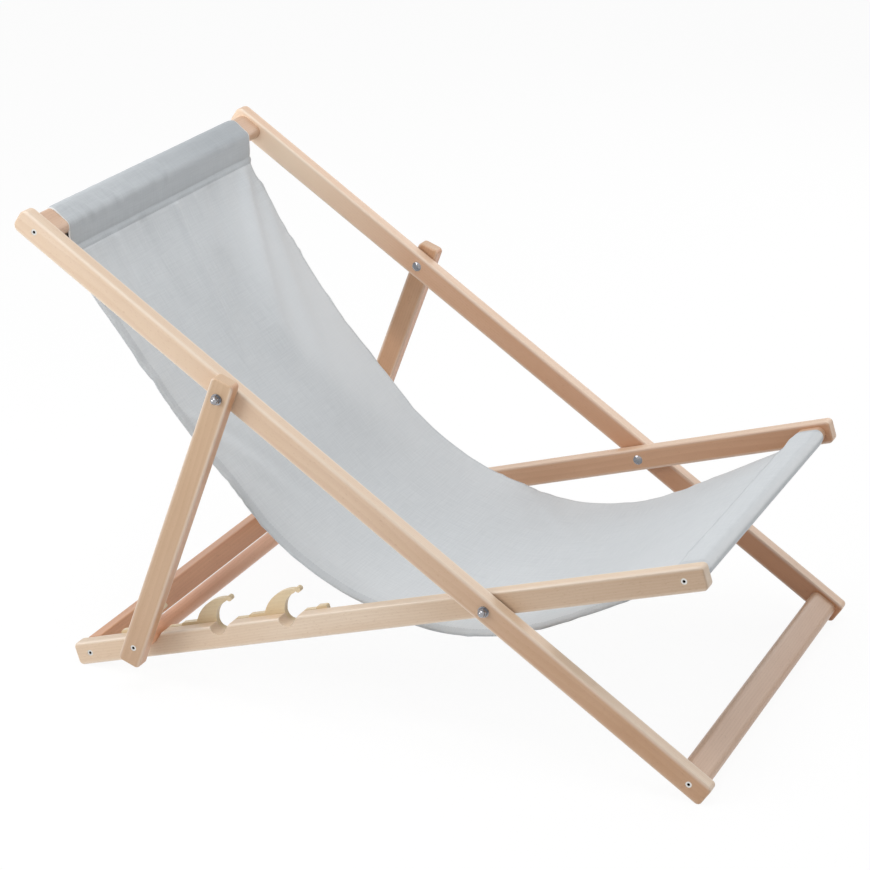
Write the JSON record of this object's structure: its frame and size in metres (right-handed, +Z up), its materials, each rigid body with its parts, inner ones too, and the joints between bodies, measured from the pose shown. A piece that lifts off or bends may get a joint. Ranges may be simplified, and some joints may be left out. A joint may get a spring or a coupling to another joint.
{
  "type": "folding beach lounger",
  "caption": "Low folding beach lounger: wooden rails crossed on pivot bolts, a notched recline prop and a plain fabric sling.",
  "frame": {"origin": "on the floor, at the middle of the lounger's length and width, as it stands open in its lowest recline position", "axes": "+X towards the foot end, +Y the sitter's left, +Z up"},
  "size_m": [0.901, 0.6212, 0.6013],
  "materials": {
    "frame_wood": "oiled, satin",
    "plate_wood": "oiled, satin",
    "dowel_wood": "oiled, satin",
    "sling_fabric": "plain woven, matte",
    "bright_steel": "polished",
    "zinc_screws": "zinc plated"
  },
  "bodies": {
    "seat_frame": {"seat_rail_left": "frame_wood", "seat_rail_right": "frame_wood", "rear_bar": "frame_wood", "front_bar": "frame_wood", "rear_bar_screws": "zinc_screws", "front_bar_screws": "zinc_screws", "hook_plate_left": "plate_wood", "hook_plate_right": "plate_wood", "hook_plate_screws": "zinc_screws", "main_pivot_bolt_left": "bright_steel", "main_pivot_bolt_right": "bright_steel", "main_pivot_spacer_left": "bright_steel", "main_pivot_spacer_right": "bright_steel", "main_pivot_washer_left": "bright_steel", "main_pivot_washer_right": "bright_steel", "main_pivot_cap_nut_left": "bright_steel", "main_pivot_cap_nut_right": "bright_steel"},
    "back_frame": {"back_rail_left": "frame_wood", "back_rail_right": "frame_wood", "head_bar": "frame_wood", "foot_bar": "frame_wood", "head_bar_screws": "zinc_screws", "foot_bar_screws": "zinc_screws", "sling": "sling_fabric", "prop_pivot_bolt_left": "bright_steel", "prop_pivot_bolt_right": "bright_steel", "prop_pivot_spacer_left": "bright_steel", "prop_pivot_spacer_right": "bright_steel", "prop_pivot_washer_left": "bright_steel", "prop_pivot_washer_right": "bright_steel", "prop_pivot_cap_nut_left": "bright_steel", "prop_pivot_cap_nut_right": "bright_steel"},
    "prop_frame": {"prop_leg_left": "frame_wood", "prop_leg_right": "frame_wood", "prop_dowel": "dowel_wood", "prop_dowel_screws": "zinc_screws"}
  },
  "joints": [
    {"name": "back_fold", "type": "hinge", "parent": "seat_frame", "child": "back_frame", "pos_m": [0.16428, 0, 0.19315], "axis": [0, -1, 0], "range_deg": [0, 50.7], "deforming": ["sling"]},
    {"name": "prop_swing", "type": "hinge", "parent": "back_frame", "child": "prop_frame", "pos_m": [-0.17003, 0, 0.41186], "axis": [0, 1, 0], "range_deg": [0, 103.1]}
  ]
}
